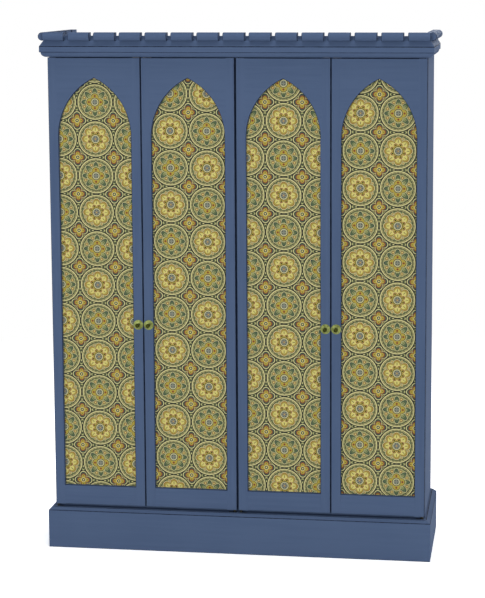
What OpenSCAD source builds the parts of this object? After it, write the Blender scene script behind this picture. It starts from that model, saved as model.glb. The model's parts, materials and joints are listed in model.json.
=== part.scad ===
// Tall bookcase cabinet with four doors, pointed-arch fabric panels and a battlemented cornice.
// X runs along the front, Y from front to back and Z up, all in millimetres.
// The origin is on the floor, under the middle of the overall box.
// Every module is drawn with the door faces at y = 0, and in_frame() then moves it to the origin.

/* [Carcass] */
// Width of front that each of the four doors takes
door_pitch = 380; // [350:5:420]
// Depth from the door faces to the back of the cabinet
body_depth = 456; // [400:4:560]
// Height of the underside of the top board above the floor
soffit_z = 2016; // [1800:6:2190]
// Thickness of the sides, partition, top, bottom and plinth deck
board_t = 22; // [20:1:25]
// Thickness of the back panels
back_t = 6; // [4:1:9]
// Width of the rebate in each side that takes the edge of a back panel
back_rebate = 10; // [6:1:14]
// Gap between the two back panels, behind the partition
back_gap = 1; // [0.5:0.5:3]
// Depth of the housings that hold the sides, the partition and the bottom board
housing = 6; // [4:1:9]

/* [Shelves] */
// Number of shelves in each of the two bays
shelf_n = 4; // [3:1:6]
// Thickness of a shelf
shelf_t = 22; // [18:1:28]
// How far the front of a shelf lies behind the front of the sides
shelf_setback = 10; // [4:1:30]
// Gap at each end of a shelf and behind it
shelf_gap = 1; // [0.5:0.5:3]
// Diameter of a shelf pin
pin_d = 6; // [5:1:8]
// Length of a shelf pin that carries the shelf
pin_out = 10; // [8:1:16]
// Wood left between two shelf pins that face each other in the partition
pin_web = 2; // [1:1:4]
// Distance of the shelf pins from the front and the back of a shelf
pin_inset = 50; // [30:5:90]

/* [Plinth] */
// Height of the upright face of the plinth
plinth_face_h = 157; // [110:1:200]
// How far the plinth stands out from the door faces and the sides
plinth_out = 25; // [20:1:40]
// Thickness of the plinth boards
plinth_t = 22; // [20:1:30]
// Height of the slope above the face of the plinth
plinth_slope_h = 10.5; // [6:0.5:20]
// Width of the level ledge between the slope and the doors
ledge_out = 7; // [5:0.5:14]
// Height of the battens that carry the plinth deck
batten_h = 40; // [25:1:60]

/* [Cornice] */
// Flat under the quarter round before its curve starts
ovolo_in = 2; // [1:0.5:4]
// Radius of the quarter round over the doors
ovolo_r = 19; // [14:0.5:24]
// Step from the quarter round out to the fascia
fascia_step = 5; // [3:0.5:8]
// Height of the fascia
fascia_h = 23.5; // [16:0.5:32]
// Height of the slope from the fascia up to the parapet
splay_h = 22.5; // [16:0.5:30]
// How far the face of the parapet stands out from the door faces and the sides
parapet_out = 11.5; // [8:0.5:14]
// Thickness of the parapet boards
parapet_t = 18; // [15:1:24]
// Number of merlons along the front
merlon_n = 15; // [11:2:19]
// Number of merlons along each side
side_merlon_n = 5; // [3:1:7]
// Height of a merlon's round-nosed block
merlon_h = 33; // [26:1:44]
// How far a merlon's block stands out from the parapet
merlon_out = 22.5; // [22:0.5:30]
// Width of the gap between two merlons
crenel_w = 16.5; // [10:0.5:24]
// Depth that the gaps are cut into the top of the parapet boards
crenel_drop = 13.5; // [8:0.5:20]

/* [Doors] */
// Thickness of the door frames
door_t = 24; // [22:1:28]
// Height of the door feet above the plinth ledge
door_lift = 11; // [8:0.5:16]
// Gap between the door tops and the top board
head_gap = 2.5; // [2:0.5:5]
// Gap between the two doors of a pair
meeting_gap = 3; // [2:0.5:5]
// Gap between the two pairs, where the hinge corners of both middle doors swing out
centre_gap = 6; // [6:0.5:9]
// How far the outer doors stay inside the faces of the sides
side_inset = 1; // [0:0.5:3]
// Gap behind the closed doors, where their hinge edges swing back
heel_gap = 3.5; // [3.5:0.5:6]
// Width of the stiles
stile_w = 40; // [38:1:52]
// Height of the bottom rail, and of the top rail over the point of the arch
rail_h = 81; // [70:1:110]
// Radius of the two arcs of the pointed arch
arch_r = 258; // [210:2:290]
// Width of the top rail's horns where the arch springs
horn_w = 6; // [4:0.5:7.5]
// Distance of the fabric behind the door face
lip_t = 12; // [9:0.5:14]
// Width of the rebate behind the opening that takes the fabric panel
rebate_w = 8; // [7.5:0.5:12]
// Gap round the fabric panel in its rebate
panel_gap = 0.5; // [0.25:0.25:1.5]
// Thickness of the fabric stretched over the backing board
fabric_t = 1.5; // [1:0.5:3]
// Distance of the backing board's back inside the back of the door
backing_in = 0.5; // [0.5:0.5:2]
// Length of the tenons on the rails
tenon_l = 14; // [10:1:17]
// Thickness of the tenons
tenon_t = 8; // [6:1:9]
// Height of the top rail's tenons
upper_tenon_h = 150; // [100:5:160]
// Wood left above and below a tenon
tenon_shoulder = 14; // [10:1:18]
// Glue space at the end of a mortise
glue_gap = 1; // [0.5:0.5:2]

/* [Pivots] */
// Distance of a pivot's axis from the hinge edge of its door
pivot_in = 10; // [9:0.5:11]
// Distance of a pivot's axis behind the door face
pivot_back = 8; // [7.5:0.5:9]
// Diameter of a pivot pin
pivot_d = 6; // [5:0.5:7]
// Running clearance on the radius of a pivot pin in its bush
pivot_clear = 0.05; // [0.02:0.01:0.1]
// Length of a pivot pin inside its bush
pivot_l = 15; // [10:1:20]
// Length of a pivot pin inside the top board or the plinth deck
pivot_root = 14; // [10:1:17]
// Outer diameter of a bush
bush_d = 9; // [9:0.5:11]
// Thickness of the pivot plates and of the bush plates
plate_t = 3; // [2:0.5:4]
// Width of these plates, across the door's thickness
plate_w = 12; // [10:0.5:14]
// Length of these plates from the pivot's axis, away from the hinge edge
plate_l = 24; // [18:1:28]
// Distance of these plates from the hinge edge
plate_inset = 2; // [1:0.5:3]
// Diameter of the collar that a door turns on
collar_d = 11; // [9:0.5:12]
// Gap between a collar and the bush plate over it
collar_gap = 0.2; // [0.1:0.1:0.4]

/* [Knobs and catches] */
// Height of the knobs above the floor
knob_z = 936; // [850:2:1100]
// Diameter of a knob's back plate
rose_d = 40; // [32:1:46]
// Thickness of a back plate's rim
rose_t = 2; // [1.5:0.5:4]
// Diameter of a back plate's raised middle
rose_swell_d = 24; // [16:1:26]
// Height of a back plate's raised middle over its rim
rose_rise = 2.5; // [1:0.5:4]
// Diameter of a knob's head
knob_d = 17; // [14:1:26]
// Length of a knob's head
knob_head_l = 13.5; // [12:0.5:18]
// Radius of the rounding at both ends of a knob's head
knob_round = 6; // [3:0.5:6]
// How far a knob stands out from the door face
knob_out = 27; // [22:1:36]
// Diameter of a knob's neck
neck_d = 8; // [6:0.5:10]
// Diameter of a knob's threaded shank
shank_d = 5; // [4:0.5:6]
// Depth of a knob's shank in its stile
shank_l = 16; // [10:1:20]
// Width of a catch and of its strike plate
catch_w = 30; // [20:1:34]
// Height of a catch under the top board
catch_h = 14; // [10:1:20]
// Depth of a catch from front to back
catch_l = 20; // [14:1:30]
// Thickness of a strike plate
strike_t = 1.5; // [1:0.5:2.5]
// Gap between a catch and its strike plate
catch_gap = 0.3; // [0.2:0.1:0.6]

/* [Hidden] */
$fn = 48;
arc_fn = 144;
DOORS = [1, 2, 3, 4];
DOOR_PIECES = ["hinge_stile", "lock_stile", "top_rail", "bottom_rail", "backing", "fabric", "bushes",
    "rose", "knob", "strike"];
CARCASS = ["side_left", "side_right", "partition", "top_board", "bottom_board", "back_panels", "shelves_left",
    "shelves_right", "shelf_pins", "plinth_front", "plinth_returns", "plinth_rails", "plinth_deck",
    "cornice_front", "cornice_returns", "parapet_boards", "merlon_blocks", "upper_pivots", "lower_pivots",
    "catches"];

paint = [0.302, 0.365, 0.475];
brass = [0.64, 0.56, 0.24];
dark_brass = [0.30, 0.26, 0.12];
steel = [0.62, 0.62, 0.60];
cloth = [0.66, 0.63, 0.35];
board_back = [0.55, 0.46, 0.33];

// Carcass places
half_w = 2 * door_pitch;
carcass_y = door_t + heel_gap;
back_in_y = body_depth - back_t;
deck_z = plinth_face_h + plinth_slope_h;
floor_z = deck_z + board_t;
plinth_in = plinth_out - plinth_t;
bay_in = board_t / 2;
bay_out = half_w - board_t;

// Shelf places
compartment_h = (soffit_z - floor_z - shelf_n * shelf_t) / (shelf_n + 1);
shelf_front = carcass_y + shelf_setback;
shelf_back = back_in_y - shelf_gap;
pin_root = (board_t - pin_web) / 2;

// Cornice places
fascia_out = ovolo_in + ovolo_r + fascia_step;
fascia_z = soffit_z + ovolo_r;
splay_z = fascia_z + fascia_h;
parapet_z = splay_z + splay_h;
crown_z = parapet_z + merlon_h;
parapet_in = parapet_out - parapet_t;
front_run = 2 * (half_w + parapet_out);
side_run = body_depth + parapet_out;
mitre_reach = 3 * fascia_out;

// Door places, measured from the hinge edge
door_w = (2 * half_w - 2 * side_inset - 2 * meeting_gap - centre_gap) / 4;
door_foot = deck_z + door_lift;
door_head = soffit_z - head_gap;
open_half = door_w / 2 - stile_w;
open_foot = door_foot + rail_h;
arch_off = arch_r - open_half;
spring_z = door_head - rail_h - sqrt(pow(arch_r, 2) - pow(arch_off, 2));
backing_y = lip_t + fabric_t;
backing_t = door_t - backing_y - backing_in;
tenon_y = (door_t - tenon_t) / 2;
lower_tenon_h = rail_h - rebate_w - 2 * tenon_shoulder;
knob_x = door_w - stile_w / 2;
catch_x = door_w - stile_w / 2 - catch_w / 2;
strike_y = door_t + strike_t;

// Middle of the overall box, from front to back
front_out = max(plinth_out, fascia_out, parapet_out + merlon_out);
middle_y = (body_depth - front_out) / 2;
hair = 1;

module in_frame() {
    translate([0, -middle_y, 0]) children();
}

// A box between two corners
module box(low, high) {
    translate(low) cube(high - low);
}

// The same shape on both sides of the cabinet's middle
module both_sides() {
    children();
    mirror([1, 0, 0]) children();
}

// A section drawn as (distance out, height), run along the front
module along_front(length) {
    rotate([90, 0, -90]) linear_extrude(length, center = true) children();
}

// The same section run from y = 0 to the back, along the left side
module along_left(start, end) {
    translate([-half_w, start, 0]) rotate([90, 0, 180]) linear_extrude(end - start) children();
}

// A moulding along the front, mitred at both corners
module mitred_front() {
    intersection() {
        along_front(2 * (half_w + mitre_reach)) children();
        linear_extrude(crown_z) polygon([[-half_w - mitre_reach, -mitre_reach], [half_w + mitre_reach, -mitre_reach],
            [half_w - mitre_reach, mitre_reach], [mitre_reach - half_w, mitre_reach]]);
    }
}

// A moulding along the left side, mitred at the front corner
module mitred_left() {
    intersection() {
        along_left(-mitre_reach, body_depth) children();
        linear_extrude(crown_z) polygon([[-half_w - mitre_reach, -mitre_reach], [mitre_reach - half_w, mitre_reach],
            [mitre_reach - half_w, body_depth + hair], [-half_w - mitre_reach, body_depth + hair]]);
    }
}

// Carcass

module side_board() {
    difference() {
        box([-half_w, carcass_y, deck_z], [-bay_out, body_depth, soffit_z + housing]);
        box([-bay_out - back_rebate, back_in_y, deck_z - hair], [hair - bay_out, body_depth + hair, soffit_z]);
        box([-bay_out - housing, carcass_y - hair, deck_z - hair], [hair - bay_out, back_in_y + hair, floor_z]);
        side_pin_holes();
    }
}

module side_left() {
    color(paint) side_board();
}

module side_right() {
    color(paint) mirror([1, 0, 0]) side_board();
}

module partition() {
    color(paint) difference() {
        box([-bay_in, carcass_y, floor_z - housing], [bay_in, back_in_y, soffit_z + housing]);
        both_sides() partition_pin_holes();
    }
}

module top_board() {
    color(paint) difference() {
        box([-half_w, 0, soffit_z], [half_w, body_depth, soffit_z + board_t]);
        both_sides() box([-half_w - hair, carcass_y, soffit_z - hair], [-bay_out, body_depth + hair, soffit_z + housing]);
        box([-bay_in, carcass_y, soffit_z - hair], [bay_in, back_in_y, soffit_z + housing]);
        for (i = DOORS) at_door(i) {
            translate([0, 0, soffit_z]) pivot_plate(plate_t);
            pivot_axis(soffit_z, pivot_root, pivot_d / 2 + pivot_clear);
        }
    }
}

module bottom_board() {
    color(paint) difference() {
        box([-bay_out - housing, carcass_y, deck_z], [bay_out + housing, back_in_y, floor_z]);
        box([-bay_in, carcass_y - hair, floor_z - housing], [bay_in, back_in_y + hair, floor_z + hair]);
    }
}

module back_panels() {
    color(paint) both_sides()
        box([back_gap / 2, back_in_y, deck_z], [bay_out + back_rebate, body_depth, soffit_z]);
}

// Shelves and their pins

function shelf_z(i) = floor_z + (i + 1) * compartment_h + i * shelf_t;

module bay_shelves() {
    for (i = [0 : shelf_n - 1])
        box([bay_in + shelf_gap, shelf_front, shelf_z(i)], [bay_out - shelf_gap, shelf_back, shelf_z(i) + shelf_t]);
}

module shelves_right() {
    color(paint) bay_shelves();
}

module shelves_left() {
    color(paint) mirror([1, 0, 0]) bay_shelves();
}

// Rods along X at the four corners of each shelf, from one distance off the middle to another
module pin_rods(low_x, high_x) {
    for (i = [0 : shelf_n - 1], y = [shelf_front + pin_inset, shelf_back - pin_inset])
        translate([low_x, y, shelf_z(i) - pin_d / 2]) rotate([0, 90, 0]) cylinder(d = pin_d, h = high_x - low_x, $fn = 16);
}

module shelf_pins() {
    color(steel) both_sides() {
        pin_rods(bay_in - pin_root, bay_in + pin_out);
        pin_rods(bay_out - pin_out, bay_out + pin_root);
    }
}

module partition_pin_holes() {
    pin_rods(bay_in - pin_root, bay_in + hair);
}

module side_pin_holes() {
    mirror([1, 0, 0]) pin_rods(bay_out - hair, bay_out + pin_root);
}

// Plinth

module plinth_section() {
    polygon([[plinth_in, 0], [plinth_out, 0], [plinth_out, plinth_face_h], [ledge_out, deck_z], [plinth_in, deck_z]]);
}

module plinth_front() {
    color(paint) mitred_front() plinth_section();
}

module plinth_returns() {
    color(paint) both_sides() mitred_left() plinth_section();
}

module plinth_deck() {
    color(paint) difference() {
        box([-half_w - plinth_in, -plinth_in, deck_z - board_t], [half_w + plinth_in, body_depth, deck_z]);
        for (i = DOORS) at_door(i) {
            translate([0, 0, deck_z - plate_t]) pivot_plate(plate_t);
            pivot_axis(deck_z - pivot_root, pivot_root, pivot_d / 2 + pivot_clear);
        }
    }
}

module plinth_rails() {
    rail_top = deck_z - board_t;
    rail_in = half_w + plinth_in;
    back_rail_y = body_depth - board_t;
    batten_z = rail_top - batten_h;
    color(board_back) {
        box([-rail_in, back_rail_y, 0], [rail_in, body_depth, rail_top]);
        box([-board_t / 2, -plinth_in, 0], [board_t / 2, back_rail_y, rail_top]);
        both_sides() {
            box([board_t / 2, -plinth_in, batten_z], [rail_in, board_t - plinth_in, rail_top]);
            box([rail_in - board_t, board_t - plinth_in, batten_z], [rail_in, back_rail_y, rail_top]);
        }
    }
}

// Cornice

module cornice_section() {
    intersection() {
        translate([ovolo_in, fascia_z]) circle(r = ovolo_r, $fn = 64);
        translate([ovolo_in, soffit_z]) square(ovolo_r);
    }
    polygon([[0, soffit_z], [ovolo_in, soffit_z], [ovolo_in, fascia_z], [fascia_out, fascia_z],
        [fascia_out, splay_z], [parapet_out, parapet_z], [parapet_in, parapet_z],
        [parapet_in, soffit_z + board_t], [0, soffit_z + board_t]]);
}

module cornice_front() {
    color(paint) mitred_front() cornice_section();
}

module cornice_returns() {
    color(paint) both_sides() mitred_left() cornice_section();
}

function merlon_w(run, n) = (run - (n - 1) * crenel_w) / n;

function merlon_start(run, n, i) = i * (merlon_w(run, n) + crenel_w);

module merlon_section() {
    nose_r = merlon_h / 2;
    translate([parapet_out, parapet_z]) square([merlon_out - nose_r, merlon_h]);
    intersection() {
        translate([parapet_out + merlon_out - nose_r, parapet_z + nose_r]) circle(r = nose_r);
        translate([parapet_out + merlon_out - nose_r, parapet_z]) square([nose_r, merlon_h]);
    }
}

module merlon_blocks() {
    w = merlon_w(front_run, merlon_n);
    side_w = merlon_w(side_run, side_merlon_n);
    color(paint) {
        for (i = [0 : merlon_n - 1])
            translate([merlon_start(front_run, merlon_n, i) + (w - front_run) / 2, 0, 0])
                along_front(w) merlon_section();
        both_sides() for (i = [0 : side_merlon_n - 1])
            translate([0, merlon_start(side_run, side_merlon_n, i) - parapet_out, 0])
                along_left(0, side_w) merlon_section();
    }
}

module parapet_boards() {
    w = merlon_w(front_run, merlon_n);
    side_w = merlon_w(side_run, side_merlon_n);
    notch_z = crown_z - crenel_drop;
    color(paint) {
        difference() {
            box([-half_w - parapet_out, -parapet_out, parapet_z], [half_w + parapet_out, -parapet_in, crown_z]);
            for (i = [0 : merlon_n - 2])
                translate([merlon_start(front_run, merlon_n, i) + w - front_run / 2, -parapet_out - hair, notch_z])
                    cube([crenel_w, parapet_t + 2 * hair, crenel_drop + hair]);
        }
        both_sides() difference() {
            box([-half_w - parapet_out, -parapet_in, parapet_z], [-half_w - parapet_in, body_depth, crown_z]);
            for (i = [0 : side_merlon_n - 2])
                translate([-half_w - parapet_out - hair,
                    merlon_start(side_run, side_merlon_n, i) + side_w - parapet_out, notch_z])
                    cube([parapet_t + 2 * hair, crenel_w, crenel_drop + hair]);
        }
    }
}

// Pivots

// Doors 1 and 3 hang on their left edges, doors 2 and 4 on their right edges
function hinge_x(i) = i == 1 ? side_inset - half_w : i == 2 ? -centre_gap / 2 : i == 3 ? centre_gap / 2
    : half_w - side_inset;

// Puts a shape drawn from x = 0 at the hinge edge in the place of one door
module at_door(i) {
    translate([hinge_x(i), 0, 0]) mirror([1 - i % 2, 0, 0]) children();
}

module pivot_axis(z, length, radius) {
    translate([pivot_in, pivot_back, z]) cylinder(r = radius, h = length);
}

module pivot_plate(thickness) {
    translate([plate_inset, pivot_back - plate_w / 2, 0]) cube([pivot_in - plate_inset + plate_l, plate_w, thickness]);
}

module upper_pivots() {
    color(brass) for (i = DOORS) at_door(i) {
        translate([0, 0, soffit_z]) pivot_plate(plate_t);
        pivot_axis(door_head - pivot_l, head_gap + pivot_l + pivot_root, pivot_d / 2);
    }
}

module lower_pivots() {
    color(brass) for (i = DOORS) at_door(i) {
        translate([0, 0, deck_z - plate_t]) pivot_plate(plate_t);
        pivot_axis(deck_z, door_lift - collar_gap, collar_d / 2);
        pivot_axis(deck_z - pivot_root, pivot_root + door_lift + pivot_l, pivot_d / 2);
    }
}

// Doors, drawn with the hinge edge at x = 0 and the face at y = 0

module arch_outline(margin) {
    half = open_half + margin;
    radius = arch_r + margin;
    foot = open_foot - margin;
    translate([door_w / 2, spring_z]) {
        intersection() {
            translate([-arch_off, 0]) circle(r = radius, $fn = arc_fn);
            translate([arch_off, 0]) circle(r = radius, $fn = arc_fn);
            translate([-half, 0]) square([2 * half, radius]);
        }
        translate([-half, foot - spring_z]) square([2 * half, spring_z - foot]);
    }
}

// A flat outline drawn as (x, z), given a thickness from one depth to another
module upright(front_y, rear_y) {
    translate([0, rear_y, 0]) rotate([90, 0, 0]) linear_extrude(rear_y - front_y) children();
}

module opening_cut() {
    upright(-hair, door_t + hair) arch_outline(0);
    upright(lip_t, door_t + hair) arch_outline(rebate_w);
}

// The tenons on one end of both rails, and the mortises that take them when they are made deeper
module hinge_side_tenons(extra) {
    reach = tenon_l + extra;
    lower_z = door_foot + tenon_shoulder;
    upper_z = door_head - tenon_shoulder - upper_tenon_h;
    box([stile_w - reach, tenon_y, lower_z], [stile_w, tenon_y + tenon_t, lower_z + lower_tenon_h]);
    box([stile_w - horn_w - reach, tenon_y, upper_z], [stile_w - horn_w, tenon_y + tenon_t, upper_z + upper_tenon_h]);
}

module stile_blank() {
    difference() {
        box([0, 0, door_foot], [stile_w, door_t, door_head]);
        box([stile_w - horn_w, -hair, spring_z], [stile_w + hair, door_t + hair, door_head + hair]);
        upright(lip_t, door_t + hair) arch_outline(rebate_w);
        hinge_side_tenons(glue_gap);
    }
}

module hinge_stile() {
    color(paint) difference() {
        stile_blank();
        translate([0, 0, door_head - plate_t]) pivot_plate(plate_t + hair);
        translate([0, 0, door_foot - hair]) pivot_plate(plate_t + hair);
        pivot_axis(door_head - plate_t - pivot_l, pivot_l + plate_t, bush_d / 2);
        pivot_axis(door_foot, pivot_l + plate_t, bush_d / 2);
    }
}

module lock_stile() {
    color(paint) difference() {
        translate([door_w, 0, 0]) mirror([1, 0, 0]) stile_blank();
        knob_rod(shank_d / 2 + pivot_clear, -hair, shank_l);
    }
}

// Rails reach from the hinge stile to the lock stile, and their tenons are the same at both ends
module rail_blank(low_x, low_z, high_z) {
    difference() {
        box([low_x, 0, low_z], [door_w - low_x, door_t, high_z]);
        opening_cut();
    }
    intersection() {
        box([0, 0, low_z], [door_w, door_t, high_z]);
        union() {
            hinge_side_tenons(0);
            translate([door_w, 0, 0]) mirror([1, 0, 0]) hinge_side_tenons(0);
        }
    }
}

module top_rail() {
    color(paint) rail_blank(stile_w - horn_w, spring_z, door_head);
}

module bottom_rail() {
    color(paint) rail_blank(stile_w, door_foot, open_foot);
}

module backing() {
    color(board_back) upright(backing_y, backing_y + backing_t) arch_outline(rebate_w - panel_gap);
}

module fabric() {
    color(cloth) upright(lip_t, backing_y) arch_outline(rebate_w - panel_gap);
}

module bushes() {
    color(brass) {
        difference() {
            union() {
                translate([0, 0, door_head - plate_t]) pivot_plate(plate_t);
                pivot_axis(door_head - plate_t - pivot_l, pivot_l + plate_t, bush_d / 2);
            }
            pivot_axis(door_head - plate_t - pivot_l - hair, pivot_l + plate_t + 2 * hair, pivot_d / 2 + pivot_clear);
        }
        difference() {
            union() {
                translate([0, 0, door_foot]) pivot_plate(plate_t);
                pivot_axis(door_foot, pivot_l + plate_t, bush_d / 2);
            }
            pivot_axis(door_foot - hair, pivot_l + plate_t + 2 * hair, pivot_d / 2 + pivot_clear);
        }
    }
}

// Knobs and catches

// A rod on the knob's axis, from one depth to another
module knob_rod(radius, front_y, rear_y) {
    translate([knob_x, rear_y, knob_z]) rotate([90, 0, 0]) cylinder(r = radius, h = rear_y - front_y);
}

// A half section drawn as (radius, distance out from the door face), turned about the knob's axis
module knob_turned() {
    translate([knob_x, 0, knob_z]) rotate([90, 0, 0]) rotate_extrude() children();
}

module rose() {
    seat_r = neck_d / 2 + pivot_clear;
    rim_r = rose_d / 2;
    swell_r = rose_swell_d / 2;
    color(brass) knob_turned() {
        polygon([[seat_r, 0], [rim_r, 0], [rim_r, rose_t / 2], [rim_r - rose_t / 2, rose_t],
            [swell_r + rose_rise, rose_t], [swell_r, rose_t + rose_rise], [seat_r, rose_t + rose_rise]]);
    }
}

module knob() {
    head_r = knob_d / 2;
    head_out = knob_out - knob_head_l;
    flat_r = head_r - knob_round;
    color(dark_brass) {
        knob_turned() {
            translate([0, head_out]) square([flat_r, knob_head_l]);
            translate([0, head_out + knob_round]) square([head_r, knob_head_l - 2 * knob_round]);
            intersection() {
                translate([flat_r, head_out + knob_round]) circle(r = knob_round);
                translate([flat_r, head_out]) square([knob_round, knob_round]);
            }
            intersection() {
                translate([flat_r, knob_out - knob_round]) circle(r = knob_round);
                translate([flat_r, knob_out - knob_round]) square([knob_round, knob_round]);
            }
            square([neck_d / 2, head_out]);
        }
        knob_rod(shank_d / 2, 0, shank_l);
    }
}

module strike() {
    color(steel) box([catch_x, door_t, door_head - catch_h], [catch_x + catch_w, strike_y, door_head - catch_gap]);
}

module catches() {
    catch_y = strike_y + catch_gap;
    color(steel) for (i = DOORS) at_door(i)
        box([catch_x, catch_y, soffit_z - catch_h], [catch_x + catch_w, catch_y + catch_l, soffit_z]);
}

in_frame() side_left();
in_frame() side_right();
in_frame() partition();
in_frame() top_board();
in_frame() bottom_board();
in_frame() back_panels();
in_frame() shelves_left();
in_frame() shelves_right();
in_frame() shelf_pins();
in_frame() plinth_front();
in_frame() plinth_returns();
in_frame() plinth_rails();
in_frame() plinth_deck();
in_frame() cornice_front();
in_frame() cornice_returns();
in_frame() parapet_boards();
in_frame() merlon_blocks();
in_frame() upper_pivots();
in_frame() lower_pivots();
in_frame() catches();
for (i = DOORS) {
    in_frame() at_door(i) hinge_stile();
    in_frame() at_door(i) lock_stile();
    in_frame() at_door(i) top_rail();
    in_frame() at_door(i) bottom_rail();
    in_frame() at_door(i) backing();
    in_frame() at_door(i) fabric();
    in_frame() at_door(i) bushes();
    in_frame() at_door(i) rose();
    in_frame() at_door(i) knob();
    in_frame() at_door(i) strike();
}
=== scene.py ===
"""Looks of the bookcase cabinet: eased, painted boards, stretched cloth, turned knobs, floor and light."""
import json
import math

import bmesh
import bpy
from mathutils import Euler, Matrix, Vector
from mathutils.bvhtree import BVHTree


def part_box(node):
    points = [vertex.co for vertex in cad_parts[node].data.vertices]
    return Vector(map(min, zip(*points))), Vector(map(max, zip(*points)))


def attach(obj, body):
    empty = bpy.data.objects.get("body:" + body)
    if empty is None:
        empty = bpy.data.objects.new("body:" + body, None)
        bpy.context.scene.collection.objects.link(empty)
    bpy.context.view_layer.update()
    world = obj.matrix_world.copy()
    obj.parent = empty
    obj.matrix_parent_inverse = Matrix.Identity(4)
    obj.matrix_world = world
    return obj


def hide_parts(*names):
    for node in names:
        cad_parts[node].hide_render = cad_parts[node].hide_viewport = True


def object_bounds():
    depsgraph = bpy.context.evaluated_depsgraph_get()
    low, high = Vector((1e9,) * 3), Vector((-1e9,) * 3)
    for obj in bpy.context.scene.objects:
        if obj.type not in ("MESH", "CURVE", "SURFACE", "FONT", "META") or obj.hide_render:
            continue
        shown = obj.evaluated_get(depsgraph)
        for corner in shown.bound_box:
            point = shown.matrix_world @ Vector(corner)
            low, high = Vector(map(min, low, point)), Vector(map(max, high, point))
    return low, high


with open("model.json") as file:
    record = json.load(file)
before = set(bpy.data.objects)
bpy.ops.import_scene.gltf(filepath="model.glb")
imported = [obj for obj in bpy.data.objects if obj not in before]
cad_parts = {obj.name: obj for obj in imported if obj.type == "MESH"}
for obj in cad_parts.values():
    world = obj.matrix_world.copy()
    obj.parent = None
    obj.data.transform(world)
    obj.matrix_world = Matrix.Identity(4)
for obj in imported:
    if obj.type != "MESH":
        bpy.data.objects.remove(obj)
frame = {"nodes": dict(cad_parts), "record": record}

CAD_LOW, CAD_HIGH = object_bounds()
NODES = frame["nodes"]
BODY_OF = {node: body for body, nodes in frame["record"]["behaviour"]["bodies"].items() for node in nodes}
SLOT_OF = {part["node"]: part["material_slot"] for part in frame["record"]["subparts"]}
BOXES = {node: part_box(node) for node in NODES}
DOOR_FACE = BOXES["door_1_top_rail"][0].y
DOORS = (1, 2, 3, 4)
MM = 0.001
FULL_TURN = 2 * math.pi

# Points nearer to each other than this are one point
WELD = 0.02 * MM

# Eased corners of the boards
EASED = 1.8 * MM
EASED_STEPS = 2
EASED_FULLNESS = 0.5

# Angles from which an edge counts as more than flat, as a corner, and as sharp
FLAT_ANGLE = math.radians(0.4)
CORNER_ANGLE = math.radians(25)
SHARP_ANGLE = math.radians(42)

# Test for a joint: how far in from an edge it looks, where along it, and how near another board has to be
JOINT_REACH = 2.0 * MM
JOINT_TESTS = (0.2, 0.5, 0.8)
JOINT_GAP = 0.35 * MM

# Trial cuts at a neighbour's ends: how far they keep from a board's own ends, and the least size they cut
CUT_MARGIN = 3.0 * MM
CUT_FROM = 60 * MM

# All cuts: the digits of their places in metres, and the cosine from which a corner runs straight on
CUT_DIGITS = 5
STRAIGHT_ON = math.cos(math.radians(12))

# Turned pieces
LATHE_STEPS = 72
ARC_STEPS = 6
TURNED_SHARP_ANGLE = math.radians(50)

# Cloth: the repeat of its pattern, its thread, its thickness, and the step of its mesh
CLOTH_REPEAT = 148.25 * MM
THREAD = 0.75 * MM
CLOTH_THICK = 0.9 * MM
CLOTH_STEP = 7.5 * MM

# Swell of the cloth: how wide its held edge is, how far it swells, and over what distance
CLOTH_HELD = 7 * MM
CLOTH_TIP = 0.4 * MM
TIP_SLOPE = 0.6
SWELL = 1.6 * MM
SWELL_REACH = 16 * MM

# Ripples in the swell: their height, their radians per metre, and the shift from door to door
RIPPLE = 0.22 * MM
RIPPLE_ACROSS = 30
RIPPLE_UP = 14
RIPPLE_SHIFT = 3

# Where each door's length was cut from the cloth, in shares of the repeat across and up
CLOTH_SHIFTS = {1: (0.50, 0.18), 2: (0.00, 0.42), 3: (0.50, 0.71), 4: (0.00, 0.93)}

# Camera, worked out from the picture's straight lines
CAMERA_AT = (1.1458, -7.1523, 2.2973)
CAMERA_YAW = math.radians(7.857)
CAMERA_PITCH = math.radians(-7.4837)
CAMERA_ROLL = math.radians(-0.168)
CAMERA_SENSOR = 36
CAMERA_LENS = 107.133
CAMERA_SHIFT = (-0.0669, -0.1338)


def colour(red, green, blue):
    """A colour given as it looks on a screen, 0 to 255, in the linear values that the shaders take."""
    def linear(value):
        share = value / 255
        return share / 12.92 if share <= 0.04045 else ((share + 0.055) / 1.055) ** 2.4
    return (linear(red), linear(green), linear(blue), 1.0)


# Colours
PAINT = colour(78, 95, 125)
PAINT_DEEP = colour(74, 91, 121)
UNDERCOAT = colour(22, 27, 40)
BOARD = colour(166, 142, 105)
BOARD_GRAIN = colour(138, 114, 80)
BRASS = colour(129, 137, 81)
BRASS_DULL = colour(102, 109, 59)
KNOB_BRASS = colour(52, 56, 20)
KNOB_DARK = colour(27, 29, 11)
STEEL = colour(112, 114, 117)
STEEL_DULL = colour(76, 78, 81)
BRONZE = colour(44, 44, 41)
BRONZE_DARK = colour(27, 27, 25)
CLOTH = {
    "ground": colour(137, 142, 90),
    "dark_ground": colour(34, 40, 36),
    "field": colour(153, 150, 98),
    "cream": colour(220, 212, 152),
    "gold": colour(170, 152, 57),
    "pale_gold": colour(205, 195, 112),
    "deep_gold": colour(138, 120, 46),
    "rust": colour(124, 52, 26),
    "olive": colour(34, 36, 18),
    "slate": colour(38, 48, 56),
    "grey": colour(124, 128, 114),
    "leaf": colour(72, 92, 60),
}

# Finishes
PAINT_SHINE = 0.03
BRUSH_MARKS = (420, 420, 420)
CLOTH_RELIEF = 0.7
CLOTH_FINISH = {
    "Roughness": 0.86,
    "Specular IOR Level": 0.25,
    "Sheen Weight": 0.12,
    "Sheen Roughness": 0.5,
}

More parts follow.
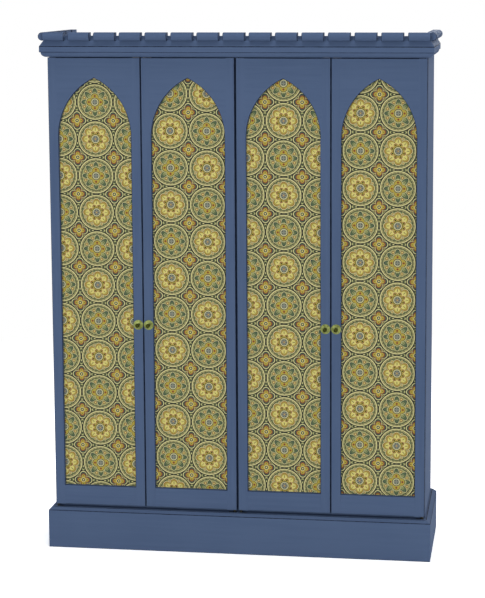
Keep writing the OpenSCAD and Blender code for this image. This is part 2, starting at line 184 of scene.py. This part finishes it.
# Floor and world: the floor runs out to white between a near and a far distance
FLOOR_REACH = 60.0
FLOOR_NEAR = 1.2
FLOOR_FAR = 4.5
FLOOR_BOUNCE = colour(234, 234, 234)
FLOOR_SEEN = (1.95, 1.95, 1.95, 1.0)
WORLD_LIGHT = 0.22
WHITE = (1, 1, 1, 1)

# Lamps: each one's place, its size and its power in watts
LAMPS = {
    "key_light": ((-4.6, -10.6, 3.2), (4.2, 3.4), 475),
    "fill_light": ((5.0, -11.0, 0.9), (4.2, 3.4), 425),
    "back_light": ((1.5, 7.0, 4.2), (4.5, 3.5), 320),
    "top_light": ((0.4, -0.8, 6.4), (4.0, 2.4), 140),
    "side_light_left": ((-9.5, 0.6, 2.8), (3.6, 2.8), 195),
    "side_light_right": ((9.5, 0.6, 2.8), (3.6, 2.8), 195),
}


class Field:
    """A number that varies over a surface, worked out by Math nodes."""

    def __init__(self, tree, socket):
        self.tree = tree
        self.socket = socket

    def math(self, operation, *others, clamp=False):
        node = self.tree.nodes.new("ShaderNodeMath")
        node.operation = operation
        node.use_clamp = clamp
        for entry, value in zip(node.inputs, (self, *others)):
            if isinstance(value, Field):
                self.tree.links.new(value.socket, entry)
            else:
                entry.default_value = value
        return Field(self.tree, node.outputs[0])

    def __add__(self, other):
        return self.math("ADD", other)

    def __sub__(self, other):
        return self.math("SUBTRACT", other)

    def __mul__(self, other):
        return self.math("MULTIPLY", other)

    def __truediv__(self, other):
        return self.math("DIVIDE", other)

    def __abs__(self):
        return self.math("ABSOLUTE")

    def __pow__(self, other):
        return self.math("POWER", other)

    def fraction(self):
        return self.math("FRACT")

    def cos(self):
        return self.math("COSINE")

    def sin(self):
        return self.math("SINE")


def length_of(a, b):
    return (a * a + b * b).math("SQRT")


def new_material(name):
    """A material, its tree and its Principled shader."""
    material = bpy.data.materials.new(name)
    material.use_nodes = True
    tree = material.node_tree
    return material, tree, tree.nodes["Principled BSDF"]


def place_on(tree, scale=(1, 1, 1), shift=(0, 0, 0)):
    """Places on the object, in metres, shifted and then scaled."""
    where = tree.nodes.new("ShaderNodeTexCoord")
    moved = tree.nodes.new("ShaderNodeMapping")
    moved.inputs["Location"].default_value = [s * k for s, k in zip(shift, scale)]
    moved.inputs["Scale"].default_value = scale
    tree.links.new(where.outputs["Object"], moved.inputs["Vector"])
    return moved.outputs["Vector"]


def noise(tree, vector, scale=1.0, detail=3.0, roughness=0.5):
    node = tree.nodes.new("ShaderNodeTexNoise")
    node.inputs["Scale"].default_value = scale
    node.inputs["Detail"].default_value = detail
    node.inputs["Roughness"].default_value = roughness
    tree.links.new(vector, node.inputs["Vector"])
    return Field(tree, node.outputs["Fac"])


def blend(first, second, share):
    """Two fields added up: a share of the first, and of the second what is left."""
    return first * share + second * (1 - share)


def spread(field, low, high, to_low=0.0, to_high=1.0):
    """The field's values from low to high, drawn out evenly to two new ends."""
    node = field.tree.nodes.new("ShaderNodeMapRange")
    field.tree.links.new(field.socket, node.inputs["Value"])
    for name, value in (("From Min", low), ("From Max", high), ("To Min", to_low), ("To Max", to_high)):
        node.inputs[name].default_value = value
    return Field(field.tree, node.outputs["Result"])


def mixed(tree, under, over, share):
    """One colour laid over another. Each is a colour or a socket, and the share is a field."""
    colour_a, colour_b, colour_result = 6, 7, 2
    node = tree.nodes.new("ShaderNodeMix")
    node.data_type = "RGBA"
    tree.links.new(share.socket, node.inputs["Factor"])
    for entry, value in ((node.inputs[colour_a], under), (node.inputs[colour_b], over)):
        if isinstance(value, bpy.types.NodeSocket):
            tree.links.new(value, entry)
        else:
            entry.default_value = value
    return node.outputs[colour_result]


def raised(tree, shader, height, distance, strength=1.0):
    node = tree.nodes.new("ShaderNodeBump")
    node.inputs["Strength"].default_value = strength
    node.inputs["Distance"].default_value = distance
    tree.links.new(height.socket, node.inputs["Height"])
    tree.links.new(node.outputs["Normal"], shader.inputs["Normal"])


def along(axis, fine, coarse):
    """Scale of a pattern that is fine across the grain and drawn out along one axis."""
    return tuple(coarse if i == axis else fine for i in range(3))


def paint(axis, rubbed):
    """Matt paint brushed along one axis. Rubbed paint, for eased edges, lets a dark undercoat through."""
    material, tree, shader = new_material(f"paint_{'xyz'[axis]}{'_edge' if rubbed else ''}")
    streaks = noise(tree, place_on(tree, along(axis, fine=900, coarse=14)), detail=2.0)
    drag = noise(tree, place_on(tree, along(axis, fine=70, coarse=3)), detail=3.0, roughness=0.6)
    cloud = noise(tree, place_on(tree), scale=3.5, detail=2.0)
    base = mixed(tree, PAINT_DEEP, PAINT, spread(blend(drag, cloud, share=0.6), low=0.38, high=0.58))
    if rubbed:
        wear = noise(tree, place_on(tree), scale=46, detail=4.0, roughness=0.65)
        base = mixed(tree, base, UNDERCOAT, spread(wear, low=0.36, high=0.60, to_low=0.66, to_high=0.98))
    tree.links.new(base, shader.inputs["Base Color"])
    roughness = spread(blend(drag, streaks, share=0.5), low=0.3, high=0.7, to_low=0.64, to_high=0.76)
    tree.links.new(roughness.socket, shader.inputs["Roughness"])
    shader.inputs["Specular IOR Level"].default_value = PAINT_SHINE
    raised(tree, shader, blend(streaks, drag, share=0.55), distance=0.10 * MM)
    return material


def bare_board():
    """Pale plywood with long grain."""
    material, tree, shader = new_material("bare_board")
    grain = noise(tree, place_on(tree, along(2, fine=160, coarse=5)), detail=4.0, roughness=0.6)
    fleck = noise(tree, place_on(tree, along(2, fine=900, coarse=40)), detail=2.0)
    base = mixed(tree, BOARD_GRAIN, BOARD, spread(blend(grain, fleck, share=0.7), low=0.36, high=0.6))
    tree.links.new(base, shader.inputs["Base Color"])
    roughness = spread(grain, low=0.3, high=0.7, to_low=0.62, to_high=0.78)
    tree.links.new(roughness.socket, shader.inputs["Roughness"])
    raised(tree, shader, blend(grain, fleck, share=0.5), distance=0.12 * MM)
    return material


def metal(name, bright, dull, roughest, smoothest):
    """Metal with fine brush marks and duller patches."""
    material, tree, shader = new_material(name)
    shader.inputs["Metallic"].default_value = 1.0
    patches = noise(tree, place_on(tree), scale=60, detail=4.0, roughness=0.6)
    marks = noise(tree, place_on(tree, BRUSH_MARKS), detail=3.0, roughness=0.6)
    base = mixed(tree, dull, bright, spread(patches, low=0.36, high=0.56))
    tree.links.new(base, shader.inputs["Base Color"])
    uneven = blend(patches, marks, share=0.5)
    roughness = spread(uneven, low=0.3, high=0.7, to_low=roughest, to_high=smoothest)
    tree.links.new(roughness.socket, shader.inputs["Roughness"])
    raised(tree, shader, marks, distance=0.03 * MM)
    return material


# Cloth pattern, with sizes as shares of its repeat

EDGE_SOFTNESS = 0.004


def filled(distance, to=0.0):
    """1 where the distance, which grows outwards, is below a value, and 0 beyond it."""
    return (distance - to).math("MULTIPLY_ADD", -1 / EDGE_SOFTNESS, 0.5, clamp=True)


def line(distance, half_width, at=0.0):
    """1 on a line that follows one value of the distance."""
    return filled(abs(distance - at), to=half_width)


def petals(angle, count, slimness, between=False):
    """A wave that is high at the middle of each petal, or between the petals."""
    swing = angle * (count / 2)
    return abs(swing.sin() if between else swing.cos()) ** slimness


def lobes(radius, wave, reach, waist):
    """Distance outside a ring of lobes, each lobe where the wave is high."""
    return radius - (wave * (1 - waist) + waist) * reach


def beads(radius, angle, count, ring, size, turn=0.0):
    """Distance outside beads set on a ring."""
    step = FULL_TURN / count
    within = ((angle / step + (0.5 + turn)).fraction() - 0.5) * step
    return length_of(radius * within.cos() - ring, radius * within.sin()) - size


def veins(radius, angle, count, half_width, middle, half_length):
    """1 on a short line down the middle of each petal."""
    aside = abs((angle * (count / 2)).sin()) * radius
    return filled(aside, to=half_width) * line(radius, half_length, at=middle)


class Design:
    """Colours laid over one another, each in its shape, and only in the cells that are being drawn."""

    def __init__(self, tree, ground):
        self.tree = tree
        self.colour = ground
        self.cells = None

    def lay(self, name, shape):
        share = shape if self.cells is None else shape * self.cells
        self.colour = mixed(self.tree, self.colour, CLOTH[name], share)


def draw_ground(design, across, up):
    """Dark and pale spots where two sets of slanting waves meet."""
    waves = 18 * math.pi
    dark_from = 0.55
    pale_from = 1.45
    steepness = 0.02
    spots = ((across + up) * waves).cos() + ((across - up) * waves).cos()
    design.lay("dark_ground", filled((spots - dark_from) * -steepness))
    design.lay("cream", filled((spots + pale_from) * steepness))


def draw_quatrefoil(design, radius, angle):
    wave = petals(angle, count=4, slimness=0.8)
    outer = lobes(radius, wave, reach=0.235, waist=0.46)
    design.lay("olive", line(outer, half_width=0.014, at=0.026))
    design.lay("cream", line(outer, half_width=0.010, at=0.004))
    design.lay("leaf", filled(outer, to=-0.004))
    design.lay("slate", line(outer, half_width=0.011, at=-0.032))
    inner = lobes(radius, wave, reach=0.165, waist=0.48)
    design.lay("gold", filled(inner))
    design.lay("rust", line(inner, half_width=0.014))
    design.lay("olive", filled(beads(radius, angle, count=4, ring=0.115, size=0.012)))
    design.lay("cream", filled(radius, to=0.062))
    design.lay("slate", filled(radius, to=0.050))
    design.lay("pale_gold", filled(radius, to=0.022))
    berries = beads(radius, angle, count=4, ring=0.155, size=0.017, turn=0.5)
    design.lay("rust", filled(berries))
    design.lay("pale_gold", filled(berries, to=-0.009))


def draw_roundel(design, radius, angle):
    ray_field = 0.394
    ray_count = 56
    ray_width = 0.1
    ray_edge = 1.25
    design.lay("olive", line(radius, half_width=0.014, at=0.486))
    design.lay("cream", line(radius, half_width=0.010, at=0.464))
    design.lay("field", filled(radius, to=0.454))
    pearls = beads(radius, angle, count=28, ring=0.427, size=0.022)
    design.lay("slate", filled(pearls))
    design.lay("pale_gold", filled(pearls, to=-0.012))
    design.lay("olive", line(radius, half_width=0.013, at=0.397))
    design.lay("leaf", filled(radius, to=ray_field))
    rays = ((angle * ray_count).sin() + ray_width).math("MULTIPLY_ADD", ray_edge, 0.5, clamp=True)
    design.lay("ground", filled(radius, to=ray_field) * rays)
    buds = beads(radius, angle, count=8, ring=0.352, size=0.024, turn=0.5)
    design.lay("cream", filled(buds, to=0.009))
    design.lay("rust", filled(buds))
    design.lay("pale_gold", filled(buds, to=-0.012))


def draw_rosette(design, radius, angle):
    outer = lobes(radius, petals(angle, count=8, slimness=0.6), reach=0.372, waist=0.66)
    design.lay("cream", filled(outer, to=0.014))
    design.lay("rust", filled(outer))
    design.lay("gold", filled(outer, to=-0.019))
    design.lay("deep_gold", line(outer, half_width=0.011, at=-0.054))
    design.lay("pale_gold", filled(outer, to=-0.060))
    design.lay("olive", veins(radius, angle, count=8, half_width=0.026, middle=0.262, half_length=0.034))
    inner = lobes(radius, petals(angle, count=8, slimness=0.6, between=True), reach=0.222, waist=0.62)
    design.lay("cream", filled(inner, to=0.010))
    design.lay("rust", filled(inner))
    design.lay("gold", filled(inner, to=-0.022))
    design.lay("olive", filled(beads(radius, angle, count=8, ring=0.166, size=0.021, turn=0.5)))
    design.lay("olive", filled(radius, to=0.128))
    design.lay("cream", filled(radius, to=0.110))
    design.lay("grey", filled(radius, to=0.094))
    design.lay("slate", filled(beads(radius, angle, count=6, ring=0.062, size=0.014)))
    design.lay("rust", filled(radius, to=0.026))
    design.lay("pale_gold", filled(radius, to=0.014))


def draw_star(design, radius, angle):
    design.lay("field", filled(radius, to=0.378))
    outer = lobes(radius, petals(angle, count=8, slimness=1.2), reach=0.378, waist=0.48)
    design.lay("cream", filled(outer, to=0.012))
    design.lay("slate", filled(outer))
    design.lay("leaf", filled(outer, to=-0.024))
    design.lay("ground", filled(outer, to=-0.084))
    design.lay("slate", veins(radius, angle, count=8, half_width=0.024, middle=0.270, half_length=0.036))
    drops = beads(radius, angle, count=8, ring=0.312, size=0.038, turn=0.5)
    design.lay("rust", filled(drops))
    design.lay("pale_gold", filled(drops, to=-0.016))
    inner = lobes(radius, petals(angle, count=4, slimness=0.7), reach=0.240, waist=0.62)
    design.lay("cream", filled(inner, to=0.012))
    design.lay("olive", filled(inner))
    design.lay("gold", filled(inner, to=-0.018))
    design.lay("rust", filled(beads(radius, angle, count=4, ring=0.164, size=0.028)))
    design.lay("slate", filled(radius, to=0.116))
    design.lay("cream", filled(radius, to=0.096))
    design.lay("grey", filled(radius, to=0.080))
    design.lay("olive", filled(beads(radius, angle, count=4, ring=0.046, size=0.014, turn=0.5)))


def cloth_group():
    """The woven pattern as one node group, from places in metres to a colour and a thread height.

    Ringed roundels stand on a square grid and hold rosettes and stars by turns. Quatrefoils lie between."""
    tree = bpy.data.node_groups.new("woven_cloth", "ShaderNodeTree")
    tree.interface.new_socket("Place", in_out="INPUT", socket_type="NodeSocketVector")
    tree.interface.new_socket("Colour", in_out="OUTPUT", socket_type="NodeSocketColor")
    tree.interface.new_socket("Height", in_out="OUTPUT", socket_type="NodeSocketFloat")
    entry = tree.nodes.new("NodeGroupInput")
    exit_node = tree.nodes.new("NodeGroupOutput")
    parts = tree.nodes.new("ShaderNodeSeparateXYZ")
    tree.links.new(entry.outputs["Place"], parts.inputs["Vector"])
    x, z = Field(tree, parts.outputs["X"]), Field(tree, parts.outputs["Z"])
    across = x.math("SNAP", THREAD) / CLOTH_REPEAT
    up = z.math("SNAP", THREAD) / CLOTH_REPEAT

    design = Design(tree, CLOTH["ground"])
    draw_ground(design, across, up)
    aside, above = (across + 0.5).fraction() - 0.5, (up + 0.5).fraction() - 0.5
    draw_quatrefoil(design, length_of(aside, above), above.math("ARCTAN2", aside))
    aside, above = across.fraction() - 0.5, up.fraction() - 0.5
    radius, angle = length_of(aside, above), above.math("ARCTAN2", aside)
    draw_roundel(design, radius, angle)
    star_cells = ((across.math("FLOOR") + up.math("FLOOR")) * 0.5).fraction() * 2
    design.cells = star_cells * -1 + 1
    draw_rosette(design, radius, angle)
    design.cells = star_cells
    draw_star(design, radius, angle)

    shade = noise(tree, entry.outputs["Place"], scale=1 / (3 * THREAD), detail=2.0, roughness=0.6)
    faded = mixed(tree, design.colour, CLOTH["grey"], spread(shade, low=0.35, high=0.75, to_high=0.16))
    tree.links.new(faded, exit_node.inputs["Colour"])
    warp = abs((x * (FULL_TURN / THREAD)).cos())
    weft = abs((z * (FULL_TURN / THREAD)).cos())
    fuzz = 0.4
    height = blend(warp, weft, share=0.5) + shade * fuzz
    tree.links.new(height.socket, exit_node.inputs["Height"])
    return tree


def cloth_material(door, group):
    """The cloth with the pattern set where one door's length was cut from it."""
    material, tree, shader = new_material(f"cloth_{door}")
    low, high = BOXES[f"door_{door}_fabric"]
    share_x, share_z = CLOTH_SHIFTS[door]
    start = ((low.x + high.x) / 2 + share_x * CLOTH_REPEAT, 0, low.z + share_z * CLOTH_REPEAT)
    weave = tree.nodes.new("ShaderNodeGroup")
    weave.node_tree = group
    tree.links.new(place_on(tree, shift=[-value for value in start]), weave.inputs["Place"])
    tree.links.new(weave.outputs["Colour"], shader.inputs["Base Color"])
    for name, value in CLOTH_FINISH.items():
        shader.inputs[name].default_value = value
    raised(tree, shader, Field(tree, weave.outputs["Height"]), distance=0.12 * MM, strength=CLOTH_RELIEF)
    return material


# Shapes

def add_object(name, mesh, materials):
    piece = bpy.data.objects.new(name, mesh)
    bpy.context.scene.collection.objects.link(piece)
    for material in materials:
        mesh.materials.append(material)
    return piece


def smooth_mesh(name, bm):
    """A smooth-shaded mesh made from a bmesh, which is freed."""
    for face in bm.faces:
        face.smooth = True
    mesh = bpy.data.meshes.new(name)
    bm.to_mesh(mesh)
    bm.free()
    return mesh


def stands_for(piece, node):
    """The piece takes the node's place and body: it joins the node's body, and the node is hidden."""
    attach(piece, BODY_OF[node])
    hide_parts(node)


def long_axis(node):
    low, high = BOXES[node]
    size = high - low
    return max(range(3), key=lambda i: size[i])


def surface_tree(node):
    mesh = NODES[node].data
    return BVHTree.FromPolygons([v.co for v in mesh.vertices], [tuple(p.vertices) for p in mesh.polygons])


SURFACES = {node: surface_tree(node) for node in NODES}


def neighbours(node):
    """The nodes of the same body whose boxes touch this one's."""
    low, high = BOXES[node]
    found = []
    for other, (other_low, other_high) in BOXES.items():
        apart = max(max(other_low[i] - high[i], low[i] - other_high[i]) for i in range(3))
        if other != node and BODY_OF[other] == BODY_OF[node] and apart < JOINT_GAP:
            found.append(other)
    return found


def cut_at(bm, axis, value):
    """Adds edges where a plane across one axis meets the mesh."""
    place, normal = Vector((0, 0, 0)), Vector((0, 0, 0))
    place[axis], normal[axis] = value, 1
    everything = bm.verts[:] + bm.edges[:] + bm.faces[:]
    bmesh.ops.bisect_plane(bm, geom=everything, dist=WELD, plane_co=place, plane_no=normal)


def covered(edge, near):
    """True if another board lies against the surface beside this edge."""
    for loop in edge.link_loops:
        start, end = loop.vert.co, loop.link_loop_next.vert.co
        inward = loop.face.normal.cross((end - start).normalized())
        for share in JOINT_TESTS:
            point = start.lerp(end, share) + inward * JOINT_REACH
            for surface in near:
                if surface.find_nearest(point, JOINT_GAP)[0] is not None:
                    return True
    return False


def free_corners(bm, near):
    """Outer edges that can be rounded: open to the air, and clear of places where two parts only touch."""
    return [e for e in bm.edges if len(e.link_faces) == 2 and all(vert.is_manifold for vert in e.verts)
            and e.is_convex and e.calc_face_angle(0) > CORNER_ANGLE and not covered(e, near)]


def stops(edges):
    """Planes across an axis where a line of edges stops although the corner runs smoothly on."""
    chosen = set(edges)
    found = set()
    for vert in {vert for edge in edges for vert in edge.verts}:
        ways = {edge: (edge.other_vert(vert).co - vert.co).normalized() for edge in vert.link_edges}
        back = [way for edge, way in ways.items() if edge in chosen]
        onward = [way for edge, way in ways.items() if edge not in chosen]
        if len(back) == 1 and any(way.dot(back[0]) < -STRAIGHT_ON for way in onward):
            axis = max(range(3), key=lambda i: abs(back[0][i]))
            found.add((axis, round(vert.co[axis], CUT_DIGITS)))
    return found


def runs(edges):
    """The edges in runs that hang together, each to be rounded as far as its own tightest spot allows."""
    left = dict.fromkeys(edges)
    while left:
        run = [left.popitem()[0]]
        for edge in run:
            touching = [other for vert in edge.verts for other in vert.link_edges if other in left]
            for other in touching:
                if other in left:
                    del left[other]
                    run.append(other)
        yield run


def plain_board(node, planes):
    """A board's faces without inner edges, but for those where planes cut them."""
    bm = bmesh.new()
    bm.from_mesh(NODES[node].data)
    bmesh.ops.remove_doubles(bm, verts=bm.verts, dist=WELD)
    bmesh.ops.dissolve_limit(bm, angle_limit=FLAT_ANGLE, verts=bm.verts, edges=bm.edges)
    for axis, value in sorted(planes):
        cut_at(bm, axis, value)
    bm.normal_update()
    return bm


def eased_board(node):
    """A board whose free corners are rounded a little, and whose joints stay tight."""
    low, high = BOXES[node]
    others = neighbours(node)
    near = [SURFACES[other] for other in others]
    corners = [corner for other in others for corner in BOXES[other]]
    planes = {(i, round(corner[i], CUT_DIGITS)) for corner in corners for i in range(3)
              if low[i] + CUT_MARGIN < corner[i] < high[i] - CUT_MARGIN and high[i] - low[i] > CUT_FROM}
    trial = plain_board(node, planes)
    planes = stops(free_corners(trial, near))
    trial.free()
    bm = plain_board(node, planes)
    for run in list(runs(free_corners(bm, near))):
        bmesh.ops.bevel(bm, geom=run, offset=EASED, offset_type="OFFSET", segments=EASED_STEPS,
                        profile=EASED_FULLNESS, affect="EDGES", clamp_overlap=True, material=1)
    mesh = smooth_mesh(f"{node}_painted", bm)
    if "custom_normal" in mesh.attributes:
        mesh.attributes.remove(mesh.attributes["custom_normal"])
    mesh.set_sharp_from_angle(angle=SHARP_ANGLE)
    axis = long_axis(node)
    piece = add_object(f"{node}_painted", mesh, [PAINTS[axis], EDGE_PAINTS[axis]])
    even = piece.modifiers.new("even_normals", "WEIGHTED_NORMAL")
    even.keep_sharp = True
    stands_for(piece, node)


def turned(node, profile, material):
    """A piece turned on a lathe, about the axis along Y through the middle of a node.

    The profile is a list of (radius, distance out), from the axis at the back to the axis at the front."""
    low, high = BOXES[node]
    centre = Vector(((low.x + high.x) / 2, 0, (low.z + high.z) / 2))
    turns = [FULL_TURN * i / LATHE_STEPS for i in range(LATHE_STEPS)]
    bm = bmesh.new()
    rings = []
    for radius, out in profile:
        angles = turns if radius > 0 else [0]
        offsets = [Vector((radius * math.cos(a), DOOR_FACE - out, radius * math.sin(a))) for a in angles]
        rings.append([bm.verts.new(centre + offset) for offset in offsets])
    for back, front in zip(rings, rings[1:]):
        for i in range(LATHE_STEPS):
            j = (i + 1) % LATHE_STEPS
            corners = [ring[k % len(ring)] for ring, k in ((back, i), (back, j), (front, j), (front, i))]
            bm.faces.new(list(dict.fromkeys(corners)))
    bmesh.ops.recalc_face_normals(bm, faces=bm.faces)
    mesh = smooth_mesh(f"{node}_turned", bm)
    mesh.set_sharp_from_angle(angle=TURNED_SHARP_ANGLE)
    stands_for(add_object(f"{node}_turned", mesh, [material]), node)


def arc(centre, radius, start, end, steps=ARC_STEPS):
    """Points on an arc of a profile, with angles in degrees from the direction of growing radius."""
    angles = [math.radians(start + (end - start) * i / steps) for i in range(steps + 1)]
    return [(centre[0] + radius * math.cos(a), centre[1] + radius * math.sin(a)) for a in angles]


def rose(door):
    """The knob's round plate: a rounded rim, a groove, and a hollow curve up to a round-edged boss."""
    node = f"door_{door}_rose"
    low, high = BOXES[node]
    rim, top = (high.x - low.x) / 2, DOOR_FACE - low.y
    plate = 2.0 * MM
    rounding = 1.0 * MM
    groove = 0.9 * MM
    groove_at = rim - 3.5 * MM
    curve_at = rim - 5.0 * MM
    boss = rim - 9.5 * MM
    profile = [(0, 0), (rim, 0)]
    profile += arc((rim - rounding, plate - rounding), rounding, 0, 90)
    profile += arc((groove_at, plate), groove, 0, -180)
    profile += arc((curve_at, top), top - plate, -90, -180)
    profile += arc((boss, top - rounding), rounding, 60, 90, steps=3)
    profile += [(0, top)]
    turned(node, profile, BRASS_METAL)


def knob(door):
    """The knob: a collared neck that flares under a round-edged head, with a slightly dished face."""
    node = f"door_{door}_knob"
    low, high = BOXES[node]
    head, out = (high.x - low.x) / 2, DOOR_FACE - low.y
    neck = 4.0 * MM
    neck_above_collar = (neck - 0.4 * MM, 7.4 * MM)
    waist = neck - 0.6 * MM
    collar = 1.2 * MM
    collar_at = 5.8 * MM
    flare = 2.0 * MM
    corner = 5.0 * MM
    back = out - 13.5 * MM
    straight_to = back - 2.5 * MM
    dish = [(head - corner - 0.6 * MM, out - 0.15 * MM), (1.6 * MM, out - 0.5 * MM), (0, out - 0.6 * MM)]
    profile = [(0, 0), (neck, 0)]
    profile += arc((neck, collar_at), collar, -90, 90)
    profile += [neck_above_collar, (waist, straight_to)]
    profile += arc((waist + flare, back - flare), flare, 180, 90, steps=5)
    profile += arc((head - corner, back + corner), corner, -90, 0, steps=8)
    profile += arc((head - corner, out - corner), corner, 0, 84, steps=8)
    profile += dish
    turned(node, profile, KNOB_METAL)


def half_width_at(node):
    """How wide the panel's outline is at a height, on either side of its middle."""
    low, high = BOXES[node]
    middle = (low.x + high.x) / 2
    points = sorted({(round(v.co.z, 6), round(v.co.x - middle, 6)) for v in NODES[node].data.vertices
                     if v.co.x > middle - WELD})

    def width(z):
        if z <= points[0][0]:
            return points[0][1]
        for (z0, x0), (z1, x1) in zip(points, points[1:]):
            if z0 <= z <= z1:
                return x0 if z1 == z0 else x0 + (x1 - x0) * (z - z0) / (z1 - z0)
        return 0.0
    return width


def cloth_panel(door, group):
    """Cloth stretched over its board: one fine sheet that swells a little away from the frame."""
    node = f"door_{door}_fabric"
    low, high = BOXES[node]
    middle = (low.x + high.x) / 2
    width = half_width_at(node)
    rows = round((high.z - low.z) / CLOTH_STEP)
    columns = round((high.x - low.x) / CLOTH_STEP)
    levels = [low.z + (high.z - CLOTH_TIP - low.z) * row / rows for row in range(rows + 1)]
    cut = sum((width(a) + width(b)) * (b - a) for a, b in zip(levels, levels[1:]))
    bm = bmesh.new()
    grid = []
    for z in levels:
        half = width(z)
        points = []
        for column in range(columns + 1):
            share = 2 * column / columns - 1
            x = middle + half * share
            inset = min(half * (1 - abs(share)), z - low.z, (high.z - z) * TIP_SLOPE)
            rise = 1 - math.exp(-max(inset - CLOTH_HELD, 0) / SWELL_REACH)
            ripple = math.sin(RIPPLE_ACROSS * x + RIPPLE_SHIFT * door) * math.sin(RIPPLE_UP * z + door)
            points.append(bm.verts.new((x, high.y - CLOTH_THICK - (SWELL + RIPPLE * ripple) * rise, z)))
        grid.append(points)
    for lower, upper in zip(grid, grid[1:]):
        for column in range(columns):
            bm.faces.new((lower[column], lower[column + 1], upper[column + 1], upper[column]))
    mesh = smooth_mesh(f"{node}_sheet", bm)
    piece = add_object(f"{node}_sheet", mesh, [cloth_material(door, group)])
    thick = piece.modifiers.new("cloth_thickness", "SOLIDIFY")
    thick.thickness = CLOTH_THICK
    thick.offset = -1
    stands_for(piece, node)


def dress(node, material):
    for entry in NODES[node].material_slots:
        entry.material = material


# Stage

def pale_floor():
    """A wide pale floor that takes the object's shadow and runs out to white."""
    material = bpy.data.materials.new("pale_floor")
    material.use_nodes = True
    tree = material.node_tree
    tree.nodes.clear()
    rays = tree.nodes.new("ShaderNodeLightPath")
    seen = Field(tree, rays.outputs["Is Camera Ray"]) + Field(tree, rays.outputs["Is Glossy Ray"])
    seen = seen.math("MINIMUM", 1.0)
    matt = tree.nodes.new("ShaderNodeBsdfDiffuse")
    tree.links.new(mixed(tree, FLOOR_BOUNCE, FLOOR_SEEN, seen), matt.inputs["Color"])
    parts = tree.nodes.new("ShaderNodeSeparateXYZ")
    tree.links.new(place_on(tree), parts.inputs["Vector"])
    away = length_of(Field(tree, parts.outputs["X"]), Field(tree, parts.outputs["Y"]))
    white = tree.nodes.new("ShaderNodeEmission")
    fade = tree.nodes.new("ShaderNodeMixShader")
    tree.links.new((spread(away, FLOOR_NEAR, FLOOR_FAR) * seen).socket, fade.inputs["Fac"])
    tree.links.new(matt.outputs["BSDF"], fade.inputs[1])
    tree.links.new(white.outputs["Emission"], fade.inputs[2])
    output = tree.nodes.new("ShaderNodeOutputMaterial")
    tree.links.new(fade.outputs["Shader"], output.inputs["Surface"])
    mesh = bpy.data.meshes.new("floor")
    corners = [(x * FLOOR_REACH, y * FLOOR_REACH, 0) for x, y in ((-1, -1), (1, -1), (1, 1), (-1, 1))]
    mesh.from_pydata(corners, [], [(0, 1, 2, 3)])
    add_object("floor", mesh, [material])


def soft_world():
    """Even grey light from all round, and white where the camera or a gloss looks past the floor."""
    world = bpy.data.worlds.new("studio")
    bpy.context.scene.world = world
    world.use_nodes = True
    tree = world.node_tree
    light = tree.nodes["Background"]
    light.inputs["Color"].default_value = WHITE
    light.inputs["Strength"].default_value = WORLD_LIGHT
    white = tree.nodes.new("ShaderNodeBackground")
    white.inputs["Color"].default_value = WHITE
    rays = tree.nodes.new("ShaderNodeLightPath")
    seen = Field(tree, rays.outputs["Is Camera Ray"])
    for kind in ("Is Glossy Ray", "Is Transmission Ray"):
        seen = seen + Field(tree, rays.outputs[kind])
    choice = tree.nodes.new("ShaderNodeMixShader")
    tree.links.new(seen.math("MINIMUM", 1.0).socket, choice.inputs["Fac"])
    tree.links.new(light.outputs["Background"], choice.inputs[1])
    tree.links.new(white.outputs["Background"], choice.inputs[2])
    tree.links.new(choice.outputs["Shader"], tree.nodes["World Output"].inputs["Surface"])


def soft_lamp(name, place, size, power):
    """A large lamp aimed at the middle of the cabinet."""
    lamp = bpy.data.lights.new(name, "AREA")
    lamp.shape = "RECTANGLE"
    lamp.size, lamp.size_y = size
    lamp.energy = power
    holder = bpy.data.objects.new(name, lamp)
    bpy.context.scene.collection.objects.link(holder)
    middle = (CAD_LOW + CAD_HIGH) / 2
    holder.location = place
    holder.rotation_euler = (Vector(place) - middle).to_track_quat("Z", "Y").to_euler()


def add_camera():
    lens = bpy.data.cameras.new("camera")
    lens.sensor_width = CAMERA_SENSOR
    lens.lens = CAMERA_LENS
    lens.shift_x, lens.shift_y = CAMERA_SHIFT
    camera = bpy.data.objects.new("camera", lens)
    bpy.context.scene.collection.objects.link(camera)
    aim = Euler((math.pi / 2 + CAMERA_PITCH, 0, CAMERA_YAW)).to_matrix()
    roll = Matrix.Rotation(CAMERA_ROLL, 3, "Z")
    camera.matrix_world = Matrix.Translation(CAMERA_AT) @ (aim @ roll).to_4x4()
    bpy.context.scene.camera = camera


# Build

PAINTS = [paint(axis, rubbed=False) for axis in range(3)]
EDGE_PAINTS = [paint(axis, rubbed=True) for axis in range(3)]
BARE_BOARD = bare_board()
BRASS_METAL = metal("brass", BRASS, BRASS_DULL, roughest=0.46, smoothest=0.26)
KNOB_METAL = metal("dark_brass", KNOB_BRASS, KNOB_DARK, roughest=0.48, smoothest=0.28)
PIVOT_METAL = metal("aged_brass", BRONZE, BRONZE_DARK, roughest=0.54, smoothest=0.34)
STEEL_METAL = metal("steel", STEEL, STEEL_DULL, roughest=0.48, smoothest=0.28)
HARDWARE = {"bare_board": BARE_BOARD, "brass": PIVOT_METAL, "steel": STEEL_METAL}

for node in NODES:
    kind = SLOT_OF[node]
    if kind == "paint" and node != "back_panels":
        eased_board(node)
    elif kind == "paint":
        dress(node, PAINTS[2])
    elif kind in HARDWARE:
        dress(node, HARDWARE[kind])
woven = cloth_group()
for door in DOORS:
    cloth_panel(door, woven)
    rose(door)
    knob(door)

pale_floor()
soft_world()
for name, (place, size, power) in LAMPS.items():
    soft_lamp(name, place, size, power)
add_camera()
bpy.context.scene.view_settings.view_transform = "Standard"
